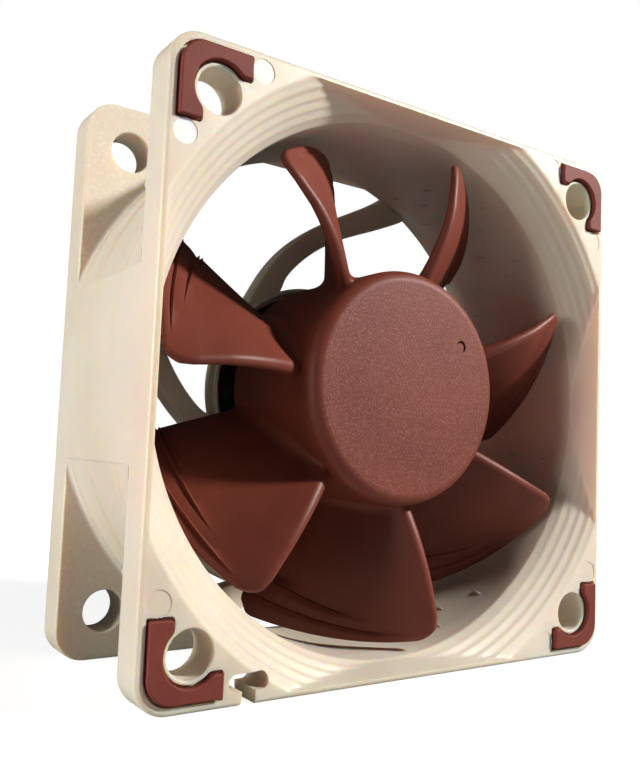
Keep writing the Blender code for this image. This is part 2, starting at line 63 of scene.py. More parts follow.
# A band's sloping wall: how far outside the band's end, and how deep there.
BAND_WALL = ((0.3, 0.0), (0.2, 0.2), (0.1, 0.5), (0.0, 0.85), (-0.12, 1.0))
BORE_RADIUS = 28.6
RIM_HALF_WIDTH = 29.4
BORE_HALF_WIDTH = 28.32
FLAT_START = 7.0
STEP_BLEND = 0.12
BAND_END = 9.0
NUB_RADIUS = 0.5
NUB_RISE = 0.2
NUB_LENGTH = 1.1
NUB_PLACES = ((-29.3, 16.5), (-29.3, -18.4))
FACE_EDGE = 0.45
BACK_EDGE = 0.25
TUBE_FILLET = 0.4
INTAKE_PATH = (
    (FRONT, 33.1),
    (FRONT + 0.06, 32.8),
    (-12.2, 32.45),
    (-12.0, 31.95),
    (-11.6, 31.65),
    (-11.3, 31.05),
    (-10.95, 30.8),
    (-10.6, 30.2),
    (-10.25, 29.95),
    (-9.85, 29.4),
    (-9.45, 29.15),
    (-8.9, 28.68),
    (-7.0, BORE_RADIUS),
    (-4.0, BORE_RADIUS),
)
INTAKE_ROUNDING = 0.2
OUTLET_PATH = ((4.0, BORE_RADIUS), (6.5, BORE_RADIUS), (8.5, 28.9), (10.5, 30.0), (REAR, 31.9))
OUTLET_ROUNDING = 0.9
DASH_ROWS = (-5.4, 6.0, 2.7)
DASH_COUNT = 26
DASH_LENGTHS = (0.9, 1.7)
DASH_HEIGHT = 0.17
DASH_HALF_WIDTH = 0.2
DASH_LEAN = 0.12
HOLE_OFFSET = 25.0
HOLE_RADIUS = 2.2
HOLE_CHAMFER = 0.12
MARK_RADIUS = 1.2
MARK_DEPTH = 0.07
MARK_NEAR = 20.5
MARK_FAR = 28.15

PAD_EDGE = 29.0
PAD_END = 21.85
PAD_ARM = 2.2
PAD_CORNER_RADIUS = 2.4
PAD_ARC_RADIUS = 2.75
PAD_GAP = 0.25
PAD_BEVEL = 0.2
PAD_LIP = 0.45
PAD_NICK = 0.2
POCKET_DEPTH = 0.75

SLOT_X = -19.0
SLOT_Z = -27.95
SLOT_LENGTH = 4.2
SLOT_HEIGHT = 1.6
SLOT_MOUTH = 1.4

BASE_RADIUS = 13.2
BASE_RIM = 0.6
BASE_FRONT = 8.6
BASE_FLOOR = 9.9
BASE_REAR = 11.2
BOSS_RADIUS = 4.6
BOSS_FRONT = 3.7
BOSS_END = 10.4
BASE_SOCKET = 3.5
STRUT_STARTS = (115.0, 202.0, 300.0, 28.0)
STRUT_WIDTHS = (2.6, 2.6, 3.2, 2.6)
STRUT_FRONT = 8.8
STRUT_SPIRAL = 84.0
# How far each strut's outer end leans on from its spiral, in degrees, and where the lean starts.
STRUT_LIFTS = (6.5, 0.0, 0.0, 0.0)
STRUT_LIFT_START = 20.0
STRUT_ENDS = (12.9, 31.0)
STRUT_EDGE = 0.35
STRUT_FLARE = 0.8
SPIRAL_RADIUS = 14.5
GUIDE_RADIUS = 24.3
GUIDE_WIDTH = 1.1
GUIDE_SWEEP = 26
GUIDE_Y = 10.0
GUIDE_HALF_DEPTH = 0.9

BLADES = 7
FIRST_BLADE = 26.0
HUB_RADIUS = 12.6
HUB_WALL = 1.0
HUB_FRONT = -11.2
HUB_REAR = 5.0
CAP_INNER = -10.0
HUB_EDGE = 1.4
HUB_BOSS_RADIUS = 3.6
GATE_X = 7.1
GATE_Z = 5.1
GATE_RADIUS = 0.68
GATE_WIDTH = 0.34
TIP_RADIUS = 27.6
ROOT_RADIUS = 12.15
LEADING_Y = (-8.6, -10.0)
LEADING_BULGE = -6.0
TRAILING_Y = (4.9, 4.6)
LEADING_ANGLE = (-3.0, 0.0)
TRAILING_ANGLE = (-38.0, -37.0)
LEADING_SWEEP = -3.0
CAMBER = 3.0
BLADE_THICKNESS = (2.2, 1.1)
TIP_CORNER = 2.2
TIP_EDGE = 0.25
ROOT_FILLET = 1.3
# Each channel: where it starts on the chord, its radius at the leading edge, how far that falls by
# the trailing edge, and its width there.
CHANNELS = ((0.62, 24.9, 2.6, 0.5), (0.28, 26.5, 3.8, 1.7), (0.07, 27.05, 1.8, 1.3))
CHANNEL_DEPTH = 0.28
CHANNEL_RIDGE = 0.2
CHANNEL_TIP = 0.25
RIDGE_WIDTH = 0.2

CAMERA_PLACE = (-58.32, -78.88, 22.97)
CAMERA_AZIMUTH = -34.5
CAMERA_ELEVATION = 4.59
CAMERA_ROLL = 2.39
CAMERA_LENS = 39.305
CAMERA_SHIFT = -0.0016


# ---------------------------------------------------------------- meshes

def link(name, mesh, body, surface, replaces=()):
    """A piece of the object, in place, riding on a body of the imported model."""
    made = bpy.data.objects.new(name, mesh)
    bpy.context.scene.collection.objects.link(made)
    mesh.materials.append(surface)
    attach(made, body)
    if replaces:
        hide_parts(*replaces)
    return made


def to_world(points):
    """Points in millimetres about the fan axis, as points in metres in the row frame."""
    return (np.asarray(points, float).reshape(-1, 3) + (0, 0, AXIS_Z)) * MM


def mesh_of(name, points, faces):
    mesh = bpy.data.meshes.new(name)
    mesh.from_pydata(to_world(points).tolist(), [], [tuple(face) for face in faces])
    clean = bmesh.new()
    clean.from_mesh(mesh)
    bmesh.ops.remove_doubles(clean, verts=clean.verts, dist=1e-7)
    bmesh.ops.dissolve_degenerate(clean, edges=clean.edges, dist=1e-8)
    bmesh.ops.recalc_face_normals(clean, faces=clean.faces)
    clean.to_mesh(mesh)
    clean.free()
    return mesh


def grid_faces(rows, columns, close_rows, close_columns):
    """Quads over a grid of points that is numbered row by row."""
    faces = []
    for row in range(rows if close_rows else rows - 1):
        below = (row + 1) % rows * columns
        for column in range(columns if close_columns else columns - 1):
            after = (column + 1) % columns
            faces.append((row * columns + column, row * columns + after, below + after, below + column))
    return faces


def polar(radius, degrees, y=0.0):
    angle = np.radians(degrees)
    return np.stack(np.broadcast_arrays(radius * np.cos(angle), y, radius * np.sin(angle)), -1)


def rounded_path(path, radius, steps=5):
    """A path of (y, radius) points with each inner corner replaced by a small arc."""
    path = [np.array(point, float) for point in path]
    out = [path[0]]
    for before, corner, after in zip(path, path[1:], path[2:]):
        back = before - corner
        ahead = after - corner
        reach = min(radius, np.linalg.norm(back) / 2, np.linalg.norm(ahead) / 2)
        start = corner + back / np.linalg.norm(back) * reach
        end = corner + ahead / np.linalg.norm(ahead) * reach
        for i in range(steps + 1):
            share = i / steps
            out.append(start * (1 - share) ** 2 + 2 * corner * share * (1 - share) + end * share * share)
    out.append(path[-1])
    return out


def square_radius(degrees, half, corner):
    """Distance from the axis to the outline of a square with round corners."""
    angle = np.radians(degrees)
    across = np.abs(np.cos(angle))
    up = np.abs(np.sin(angle))
    flat = half / np.maximum(across, up)
    centre = (half - corner) * (across + up)
    inside = np.maximum(corner * corner - 2 * (half - corner) ** 2 + centre * centre, 0)
    return np.where(np.minimum(across, up) * flat <= half - corner, flat, centre + np.sqrt(inside))


def lathe(name, profile, steps=128):
    """A closed profile of (radius, y) turned about the axis."""
    turns = np.arange(steps) * 360 / steps
    rows = np.array([polar(radius, turns, y) for radius, y in profile])
    return mesh_of(name, rows, grid_faces(len(profile), steps, True, True))


def prism(name, outline, y_front, y_rear):
    count = len(outline)
    front = [(x, y_front, z) for x, z in outline]
    rear = [(x, y_rear, z) for x, z in outline]
    faces = grid_faces(2, count, False, True)
    faces += [tuple(range(count)), tuple(range(2 * count - 1, count - 1, -1))]
    return mesh_of(name, front + rear, faces)


def join_meshes(name, meshes):
    """One mesh of several, with their materials kept."""
    joined = bmesh.new()
    slots = []
    for mesh in meshes:
        for surface in mesh.materials:
            if surface not in slots:
                slots.append(surface)
    for mesh in meshes:
        first = len(joined.faces)
        joined.from_mesh(mesh)
        joined.faces.ensure_lookup_table()
        for face in joined.faces[first:]:
            if mesh.materials:
                face.material_index = slots.index(mesh.materials[0])
    made = bpy.data.meshes.new(name)
    joined.to_mesh(made)
    joined.free()
    for surface in slots:
        made.materials.append(surface)
    return made


def apply_modifiers(target):
    """Puts the evaluated mesh in place of the object's own."""
    graph = bpy.context.evaluated_depsgraph_get()
    done = bpy.data.meshes.new_from_object(target.evaluated_get(graph))
    target.modifiers.clear()
    target.data = done


def boolean(target, cutter, operation):
    """Joins or cuts a piece with a mesh and leaves only the result."""
    helper = bpy.data.objects.new("helper", cutter)
    bpy.context.scene.collection.objects.link(helper)
    step = target.modifiers.new("boolean", "BOOLEAN")
    step.operation = operation
    step.object = helper
    step.solver = "MANIFOLD"
    apply_modifiers(target)
    bpy.data.objects.remove(helper)


def soften(target, angle=28):
    """Smooth shading with sharp edges kept, and normals that leave flat faces flat."""
    target.data.shade_smooth()
    target.data.set_sharp_from_angle(angle=math.radians(angle))
    step = target.modifiers.new("flat_faces", "WEIGHTED_NORMAL")
    step.keep_sharp = True


# ---------------------------------------------------------------- materials

class Shader:
    """A small helper that adds nodes to a material and joins them."""

    def __init__(self, name, colour, roughness, metallic=0.0):
        self.material = bpy.data.materials.new(name)
        self.material.use_nodes = True
        self.tree = self.material.node_tree
        self.body = self.tree.nodes["Principled BSDF"]
        self.body.inputs["Metallic"].default_value = metallic
        self.body.inputs["Roughness"].default_value = roughness
        self.body.inputs["Base Color"].default_value = (*colour, 1)
        self.material.diffuse_color = (*colour, 1)
        self.place = self.node("ShaderNodeTexCoord").outputs["Object"]

    def node(self, kind, inputs=None, **settings):
        made = self.tree.nodes.new(kind)
        for name, value in settings.items():
            setattr(made, name, value)
        for name, value in (inputs or {}).items():
            socket = made.inputs[name]
            if isinstance(value, bpy.types.NodeSocket):
                self.tree.links.new(value, socket)
            else:
                socket.default_value = value
        return made

    def noise(self, size_mm, detail):
        inputs = {"Vector": self.place, "Scale": 1 / (size_mm * MM), "Detail": detail}
        return self.node("ShaderNodeTexNoise", inputs).outputs["Fac"]

    def cells(self, size_mm):
        inputs = {"Vector": self.place, "Scale": 1 / (size_mm * MM)}
        return self.node("ShaderNodeTexVoronoi", inputs).outputs["Distance"]

    def spread(self, value, low, high, to_low=0.0, to_high=1.0):
        inputs = {"Value": value, "From Min": low, "From Max": high, "To Min": to_low, "To Max": to_high}
        return self.node("ShaderNodeMapRange", inputs).outputs["Result"]

    def math(self, operation, first, second):
        made = self.node("ShaderNodeMath", {0: first, 1: second}, operation=operation)
        return made.outputs[0]

    def mix(self, share, first, second):
        made = self.node("ShaderNodeMix", data_type="RGBA")
        for index, value in ((0, share), (6, first), (7, second)):
            socket = made.inputs[index]
            if isinstance(value, bpy.types.NodeSocket):
                self.tree.links.new(value, socket)
            else:
                socket.default_value = value
        return made.outputs[2]

    def set(self, **values):
        for name, value in values.items():
            socket = self.body.inputs[name.replace("_", " ")]
            if isinstance(value, bpy.types.NodeSocket):
                self.tree.links.new(value, socket)
            else:
                socket.default_value = value
        return self

    def bump(self, height, depth_mm, strength):
        inputs = {"Height": height, "Distance": depth_mm * MM, "Strength": strength}
        return self.node("ShaderNodeBump", inputs).outputs["Normal"]


def rgb(red, green, blue):
    return (red, green, blue, 1.0)


def cream_plastic():
    shade = Shader("frame_cream", (0.69, 0.615, 0.505), 0.42)
    broad = shade.noise(14, 3)
    fine = shade.noise(0.28, 3)
    base = shade.mix(shade.spread(broad, 0.35, 0.65), rgb(0.665, 0.587, 0.475), rgb(0.715, 0.643, 0.54))
    # The rear flange's inner face has a coarser grain in its bump, and pale specks in its colour that are
    # painted glints.
    depth = shade.node("ShaderNodeSeparateXYZ", {"Vector": shade.place}).outputs["Y"]
    near_face = shade.math("SUBTRACT", depth, (REAR - FLANGE) * MM)
    off_face = shade.math("ABSOLUTE", near_face, 0.0)
    grained = shade.spread(off_face, 0.02 * MM, 0.35 * MM, 1.0, 0.0)
    glint_noise = shade.spread(shade.noise(0.45, 4), 0.52, 0.72)
    painted_glints = shade.math("MULTIPLY", glint_noise, grained)
    base = shade.mix(shade.math("MULTIPLY", painted_glints, 0.35), base, rgb(0.88, 0.83, 0.74))
    rough = shade.spread(fine, 0.3, 0.7, 0.36, 0.5)
    # The upper left pair of ejector marks gets a painted highlight: near white colour where they catch the
    # light, and less roughness.
    for x, z in ((-MARK_NEAR, MARK_FAR), (-MARK_FAR, MARK_NEAR)):
        centre = (x * MM, (FRONT + MARK_DEPTH) * MM, (z + AXIS_Z) * MM)
        away = shade.node("ShaderNodeVectorMath", {0: shade.place, 1: centre},
                          operation="DISTANCE").outputs["Value"]
        painted_highlight = shade.spread(away, (MARK_RADIUS - 0.08) * MM, (MARK_RADIUS - 0.02) * MM, 1.0, 0.0)
        base = shade.mix(painted_highlight, base, rgb(0.95, 0.93, 0.89))
        rough = shade.math("SUBTRACT", rough, shade.math("MULTIPLY", painted_highlight, 0.22))
    shade.set(Base_Color=base, Roughness=rough)
    shade.set(Subsurface_Weight=0.4, Subsurface_Radius=(2.4, 0.95, 0.18), Subsurface_Scale=1.2 * MM)
    shade.set(Specular_IOR_Level=0.45)
    coarse = shade.math("ADD", shade.math("MULTIPLY", grained, 2.2), 0.35)
    grain = shade.math("MULTIPLY", shade.noise(0.16, 2), coarse)
    shade.set(Normal=shade.bump(grain, 0.012, 0.5))
    return shade.material


def maroon_plastic():
    shade = Shader("impeller_maroon", (0.17, 0.042, 0.027), 0.4)
    broad = shade.noise(9, 3)
    base = shade.mix(shade.spread(broad, 0.35, 0.65), rgb(0.165, 0.039, 0.022), rgb(0.205, 0.051, 0.030))
    depth = shade.node("ShaderNodeSeparateXYZ", {"Vector": shade.place}).outputs["Y"]
    on_face = shade.spread(depth, (HUB_FRONT + 0.02) * MM, (HUB_FRONT + 0.16) * MM, 1.0, 0.0)
    # Pale specks on the hub's front face are painted glints; the coarser bump below is its real grain.
    glint_noise = shade.spread(shade.noise(0.15, 2), 0.48, 0.7)
    painted_facet_glints = shade.math("MULTIPLY", glint_noise, on_face)
    base = shade.mix(shade.math("MULTIPLY", painted_facet_glints, 0.75), base, rgb(0.305, 0.128, 0.105))
    fine = shade.noise(0.12, 2)
    roughness = shade.math("ADD", shade.spread(fine, 0.3, 0.7, 0.44, 0.56),
                           shade.math("MULTIPLY", on_face, 0.06))
    shade.set(Base_Color=base, Roughness=roughness, Specular_IOR_Level=0.38)
    shade.set(Subsurface_Weight=0.06, Subsurface_Radius=(0.9, 0.2, 0.1), Subsurface_Scale=0.6 * MM)
    coarse = shade.math("ADD", shade.math("MULTIPLY", on_face, 1.6), 0.6)
    grain = shade.math("MULTIPLY", shade.noise(0.17, 3), coarse)
    shade.set(Normal=shade.bump(grain, 0.02, 0.7))
    return shade.material


def silicone():
    shade = Shader("pad_silicone", (0.19, 0.045, 0.032), 0.62)
    broad = shade.noise(4, 3)
    base = shade.mix(shade.spread(broad, 0.3, 0.7), rgb(0.180, 0.040, 0.028), rgb(0.215, 0.052, 0.038))
    dust = shade.spread(shade.noise(0.35, 4), 0.62, 0.78)
    base = shade.mix(shade.math("MULTIPLY", dust, 0.18), base, rgb(0.34, 0.2, 0.17))
    shade.set(Base_Color=base, Roughness=shade.spread(shade.noise(0.2, 2), 0.3, 0.7, 0.55, 0.7))
    shade.set(Specular_IOR_Level=0.35)
    shade.set(Normal=shade.bump(shade.noise(0.14, 2), 0.01, 0.5))
    return shade.material


def turned_metal(name, colour, roughness, line_mm=0.09):
    """Bare metal with fine tooling lines round the axis."""
    shade = Shader(name, colour, roughness, 1.0)
    lines = shade.node("ShaderNodeTexWave", {"Vector": shade.place, "Scale": 0.05 / (line_mm * MM),
                                             "Distortion": 1.5, "Detail": 2.0},
                       wave_type="BANDS", bands_direction="Y").outputs["Fac"]
    worn = shade.noise(1.5, 4)
    dull = tuple(part * 0.72 for part in colour)
    base = shade.mix(shade.spread(worn, 0.35, 0.7), rgb(*dull), rgb(*colour))
    shade.set(Base_Color=base, Roughness=shade.spread(worn, 0.3, 0.7, roughness - 0.08, roughness + 0.12))
    shade.set(Normal=shade.bump(lines, 0.003, 0.4))
    return shade.material


def pressed_steel(name, colour, line_mm):
    """Sheet or stacked laminations, with lines across the axis."""
    shade = Shader(name, colour, 0.42, 1.0)
    sheets = shade.node("ShaderNodeTexWave", {"Vector": shade.place, "Scale": 0.05 / (line_mm * MM)},
                        wave_type="BANDS", bands_direction="Y").outputs["Fac"]
    dark = tuple(part * 0.45 for part in colour)
    base = shade.mix(shade.spread(sheets, 0.1, 0.3), rgb(*dark), rgb(*colour))
    shade.set(Base_Color=base, Roughness=shade.spread(shade.noise(0.8, 3), 0.3, 0.7, 0.32, 0.55))
    shade.set(Normal=shade.bump(sheets, 0.02, 0.6))
    return shade.material


def windings():
    """Enamelled wire laid side by side."""
    shade = Shader("winding_copper", (0.55, 0.2, 0.08), 0.28, 0.9)
    wires = shade.node("ShaderNodeTexWave", {"Vector": shade.place, "Scale": 0.05 / (0.16 * MM),
                                             "Distortion": 0.6, "Detail": 1.0},
                       wave_type="RINGS", rings_direction="Y").outputs["Fac"]
    base = shade.mix(shade.spread(wires, 0.1, 0.6), rgb(0.18, 0.05, 0.02), rgb(0.62, 0.24, 0.1))
    shade.set(Base_Color=base, Coat_Weight=0.4, Coat_Roughness=0.2)
    shade.set(Normal=shade.bump(wires, 0.05, 0.8))
    return shade.material


def grained(name, dark, pale, size_mm, roughness, depth_mm=0.01, metallic=0.0):
    """A mottled, fine-grained surface for the small inner pieces."""
    shade = Shader(name, pale, roughness, metallic)
    mottle = shade.noise(size_mm, 4)
    base = shade.mix(shade.spread(mottle, 0.38, 0.62), rgb(*dark), rgb(*pale))
    shade.set(Base_Color=base, Roughness=shade.spread(mottle, 0.3, 0.7, roughness - 0.08, roughness + 0.08))
    shade.set(Normal=shade.bump(shade.noise(size_mm / 4, 3), depth_mm, 0.6))
    return shade.material


def laminate():
    """A dark board with faint copper tracks under its solder mask."""
    shade = Shader("board_mask", (0.01, 0.02, 0.015), 0.35)
    tracks = shade.cells(1.6)
    lines = shade.spread(tracks, 0.30, 0.34)
    base = shade.mix(lines, rgb(0.016, 0.03, 0.022), rgb(0.008, 0.014, 0.011))
    shade.set(Base_Color=base, Roughness=shade.spread(shade.noise(0.6, 3), 0.3, 0.7, 0.28, 0.42))
    shade.set(Normal=shade.bump(lines, 0.02, 0.6))
    return shade.material


# ---------------------------------------------------------------- the frame

def band_end_angle():
    """The bands stop short of the frame's flat sides by this angle."""
    return math.degrees(math.asin(BAND_END / TUBE_RADIUS))


def frame_angles():
    """Angles of the frame's columns, closer together at the corners and at the bands' ends."""
    end = band_end_angle()
    quarter = np.concatenate([np.arange(0, 40, 0.8), np.arange(40, 50, 0.25), np.arange(50, 90, 0.8),
                              [end - 0.1, end + 0.1, 89.9 - end, 90.1 - end]])
    quarter = np.sort(quarter)
    return np.concatenate([quarter + 90 * turn for turn in range(4)])


def soft_minimum(first, second, blend):
    """The smaller of two radii, with the crease between them rounded off."""
    return -blend * np.logaddexp(-first / blend, -second / blend)


def outside_rings(angles):
    """Rings of the frame's outside from the front face to the rear face."""
    clip = square_radius(angles, SIDE_HALF, CORNER_RADIUS)
    tube = np.minimum(TUBE_RADIUS, clip)
    rings = []

    def flange(y, inset, at_least):
        square = square_radius(angles, SIDE_HALF - inset, CORNER_RADIUS - inset)
        rings.append((y, np.maximum(square, at_least)))

    def fillet(y, side):
        for turn in turns[::side]:
            wide = TUBE_RADIUS + TUBE_FILLET * (1 - math.sin(turn))
            rings.append((y + side * TUBE_FILLET * (1 - math.cos(turn)), np.minimum(wide, clip)))

    turns = [math.radians(15 * i) for i in range(7)]
    back = FRONT + FLANGE
    front_half = [(FRONT + FACE_EDGE * (1 - math.cos(turn)), FACE_EDGE * (1 - math.sin(turn)), 0.0)
                  for turn in turns]
    front_half += [(back - BACK_EDGE * (1 - math.sin(turn)), BACK_EDGE * (1 - math.cos(turn)), tube)
                   for turn in turns]
    for ring in front_half:
        flange(*ring)
    fillet(back, 1)
    from_side = np.minimum(angles % 90, 90 - angles % 90)
    for start, end in BANDS:
        floor = np.where(from_side > band_end_angle(), TUBE_RADIUS - BAND_DEPTH, tube)
        rings += [(start - out, tube * (1 - sunk) + floor * sunk) for out, sunk in BAND_WALL]
        rings += [(end + out, tube * (1 - sunk) + floor * sunk) for out, sunk in reversed(BAND_WALL)]
    fillet(-back, -1)
    for y, inset, at_least in reversed(front_half):
        flange(-y, inset, at_least)
    return rings


def inside_rings(angles):
    """Rings of the bore from the rear face to the front face."""
    path = rounded_path(INTAKE_PATH, INTAKE_ROUNDING) + rounded_path(OUTLET_PATH, OUTLET_ROUNDING)[1:]
    rings = []
    for y, radius in reversed(path):
        opened = max(0.0, abs(y) - FLAT_START) / (REAR - FLAT_START)
        half = BORE_HALF_WIDTH + (RIM_HALF_WIDTH - BORE_HALF_WIDTH) * opened
        clip = square_radius(angles, half, CORNER_RADIUS)
        rings.append((y, soft_minimum(np.full_like(clip, radius), clip, STEP_BLEND)))
    return rings


def shell_mesh():
    angles = frame_angles()
    rings = outside_rings(angles) + inside_rings(angles)
    points = np.array([polar(radius, angles, y) for y, radius in rings])
    return mesh_of("frame_shell", points, grid_faces(len(rings), len(angles), True, True))


def bend(start, corner, end, steps=6):
    """Points of a small curve that rounds one corner of an outline."""
    shares = np.linspace(0, 1, steps)[:, None]
    start, corner, end = (np.array(point, float) for point in (start, corner, end))
    points = start * (1 - shares) ** 2 + 2 * corner * shares * (1 - shares) + end * shares ** 2
    return [tuple(point) for point in points]


def pad_outline(turn, gap):
    """A corner pad's outline, or its pocket's when the gap is above zero."""
    edge = PAD_EDGE + gap
    end = PAD_END - gap
    inner = PAD_EDGE - PAD_ARM - gap
    corner = PAD_CORNER_RADIUS + gap
    arc = PAD_ARC_RADIUS - gap
    lip = PAD_LIP
    nick = PAD_NICK
    meet = HOLE_OFFSET - math.sqrt(arc * arc - (inner - HOLE_OFFSET) ** 2)
    first = lip / arc - math.acos((inner - HOLE_OFFSET) / arc)
    turns = [first + (math.pi / 2 - 2 * first) * i / 28 for i in range(29)]
    round_hole = [(HOLE_OFFSET + arc * math.cos(angle), HOLE_OFFSET + arc * math.sin(angle))
                  for angle in turns]
    outline = bend((end + lip, inner), (end, inner), (end, inner + lip))
    outline += bend((end, edge - nick), (end, edge), (end + nick, edge))
    for degrees in range(90, -1, -10):
        angle = math.radians(degrees)
        outline.append((edge - corner + corner * math.cos(angle), edge - corner + corner * math.sin(angle)))
    outline += bend((edge, end + nick), (edge, end), (edge - nick, end))
    outline += bend((inner + lip, end), (inner, end), (inner, end + lip))
    outline += bend((inner, meet - lip), (inner, meet), round_hole[0])[:-1]
    outline += round_hole
    outline += bend(round_hole[-1], (meet, inner), (meet - lip, inner))[1:]
    cosine = round(math.cos(math.radians(turn)))
    sine = round(math.sin(math.radians(turn)))
    return [(x * cosine - z * sine, x * sine + z * cosine) for x, z in outline]


def screw_hole(x, z, y_front, y_rear):
    """A cutter for one hole, opened out a little at both faces."""
    over = 0.4
    wide = HOLE_RADIUS + HOLE_CHAMFER + over
    profile = [(0, y_front - over), (wide, y_front - over), (HOLE_RADIUS, y_front + HOLE_CHAMFER),
               (HOLE_RADIUS, y_rear - HOLE_CHAMFER), (wide, y_rear + over), (0, y_rear + over)]
    turns = np.arange(64) * 360 / 64
    rows = np.array([polar(radius, turns, y) for radius, y in profile]) + (x, 0, z)
    return mesh_of("hole", rows, grid_faces(len(profile), 64, False, True))


def slot_cutter():
    """A cutter for the cable slot: a long hole with a narrow mouth through the lower edge."""
    radius = SLOT_HEIGHT / 2
    reach = SLOT_LENGTH / 2 - radius
    outline = []
    for side in (1, -1):
        for i in range(17):
            angle = math.radians(-90 * side + 180 * i / 16)
            outline.append((SLOT_X + side * reach + radius * math.cos(angle),
                            SLOT_Z + radius * math.sin(angle)))
    bottom = -SIDE_HALF - 1
    half = SLOT_MOUTH / 2
    outline += [(SLOT_X - half, SLOT_Z - radius), (SLOT_X - half - 0.15, bottom),
                (SLOT_X + half + 0.15, bottom), (SLOT_X + half, SLOT_Z - radius)]
    return prism("slot", outline, FRONT - 1, FRONT + FLANGE + 1)


def marks():
    """Shallow round marks that ejector pins leave on the front face."""
    made = []
    circle = np.radians(np.arange(48) * 7.5)
    for x_side in (-1, 1):
        for z_side in (-1, 1):
            for x, z in ((MARK_NEAR, MARK_FAR), (MARK_FAR, MARK_NEAR)):
                by_the_slot = x_side < 0 and z_side < 0 and x < z
                if by_the_slot:
                    continue
                outline = [(x_side * x + MARK_RADIUS * math.cos(turn),
                            z_side * z + MARK_RADIUS * math.sin(turn)) for turn in circle]
                made.append(prism("mark", outline, FRONT - 0.5, FRONT + MARK_DEPTH))
    return made


def build_frame(cream):
    shell = link("frame_shell", shell_mesh(), STATOR_BODY, cream, ["frame"])
    cuts = [slot_cutter()]
    for turn, x_side, z_side in ((0, 1, 1), (90, -1, 1), (180, -1, -1), (270, 1, -1)):
        x = x_side * HOLE_OFFSET
        z = z_side * HOLE_OFFSET
        cuts.append(screw_hole(x, z, FRONT, FRONT + FLANGE))
        cuts.append(screw_hole(x, z, REAR - FLANGE, REAR))
        pocket = pad_outline(turn, PAD_GAP)
        cuts.append(prism("pocket", pocket, FRONT - 1, FRONT + POCKET_DEPTH))
        cuts.append(prism("pocket", pocket, REAR - POCKET_DEPTH, REAR + 1))
    cuts += marks()
    for mesh in cuts:
        mesh.materials.append(cream)
    boolean(shell, join_meshes("cuts", cuts), "DIFFERENCE")
    soften(shell)


def strut_angle(start, radius):
    """Where a strut's middle line is at a radius: it runs outwards as a spiral."""
    return start - STRUT_SPIRAL * math.log(radius / SPIRAL_RADIUS)


def strut_mesh(start, width, lift):
    """A curved strut with rounded edges, wider where it meets the base."""
    edge = STRUT_EDGE
    y_middle = (STRUT_FRONT + BASE_REAR) / 2
    y_half = (BASE_REAR - STRUT_FRONT) / 2
    rows = []
    for radius in np.linspace(*STRUT_ENDS, 48):
        flare = STRUT_FLARE * math.exp(-((radius - BASE_RADIUS) / 0.9) ** 2 * 0.7)
        half = (width / 2 + flare * 0.5) * math.hypot(1, math.radians(STRUT_SPIRAL))
        section = []
        for corner_x, corner_y, first in ((1, 1, 0), (-1, 1, 90), (-1, -1, 180), (1, -1, 270)):
            for i in range(5):
                angle = math.radians(first + 22.5 * i)
                across = corner_x * (half - edge) + edge * math.cos(angle)
                y = y_middle + corner_y * (y_half - edge) + edge * math.sin(angle)
                section.append((across, y))
        past = max(0.0, radius - STRUT_LIFT_START) / (BORE_RADIUS - STRUT_LIFT_START)
        middle = strut_angle(start, radius) + lift * past * past
        rows.append([polar(radius, middle + math.degrees(across / radius), y) for across, y in section])
    rows = np.array(rows)
    count = rows.shape[1]
    faces = grid_faces(len(rows), count, False, True)
    last = (len(rows) - 1) * count
    faces += [tuple(range(count)), tuple(range(last + count - 1, last - 1, -1))]
    return mesh_of("strut", rows, faces)


def guide_mesh():
    """The wire guide: a round-ended finger beside the third strut."""
    start = strut_angle(STRUT_STARTS[2], GUIDE_RADIUS) + 1
    steps = 33
    rows = []
    for i in range(steps):
        swept = GUIDE_SWEEP * i / (steps - 1)
        left = (swept - GUIDE_SWEEP) / GUIDE_SWEEP * math.radians(GUIDE_SWEEP) * GUIDE_RADIUS
        narrow = 1.0
        if left > -GUIDE_WIDTH / 2:
            narrow = min(1.0, math.sqrt(max(0.0, 1 - (1 + left / (GUIDE_WIDTH / 2)) ** 2)))
        half = GUIDE_WIDTH / 2 * max(narrow, 0.12)
        section = []
        for j in range(16):
            angle = math.radians(22.5 * j)
            across = half * np.sign(math.cos(angle)) * abs(math.cos(angle)) ** 0.5
            deep = GUIDE_HALF_DEPTH * np.sign(math.sin(angle)) * abs(math.sin(angle)) ** 0.5
            section.append(polar(GUIDE_RADIUS + across, start - swept, GUIDE_Y + deep))
        rows.append(section)
    rows = np.array(rows)
    last = (steps - 1) * 16
    faces = grid_faces(steps, 16, False, True) + [tuple(range(16)), tuple(range(last + 15, last - 1, -1))]
    return mesh_of("guide", rows, faces)


def build_base(cream):
    """The motor base with its boss, the struts and the wire guide."""
    edge = 0.3
    profile = [
        (0, BOSS_END),
        (BASE_SOCKET, BOSS_END),
        (BASE_SOCKET, BOSS_FRONT),
        (BOSS_RADIUS - edge, BOSS_FRONT),
        (BOSS_RADIUS, BOSS_FRONT + edge),
        (BOSS_RADIUS, BASE_FLOOR),
        (BASE_RADIUS - BASE_RIM, BASE_FLOOR),
        (BASE_RADIUS - BASE_RIM, BASE_FRONT + 0.15),
        (BASE_RADIUS - BASE_RIM + 0.15, BASE_FRONT),
        (BASE_RADIUS - 0.2, BASE_FRONT),
        (BASE_RADIUS, BASE_FRONT + 0.2),
    ]
    for i in range(6):
        angle = math.radians(18 * i)
        profile.append((BASE_RADIUS - edge + edge * math.cos(angle),
                        BASE_REAR - edge + edge * math.sin(angle)))
    profile.append((0, BASE_REAR))
    base = link("motor_base", lathe("motor_base", profile, 160), STATOR_BODY, cream)
    for start, width, lift in zip(STRUT_STARTS, STRUT_WIDTHS, STRUT_LIFTS):
        boolean(base, strut_mesh(start, width, lift), "UNION")
    boolean(base, guide_mesh(), "UNION")
    soften(base, 40)


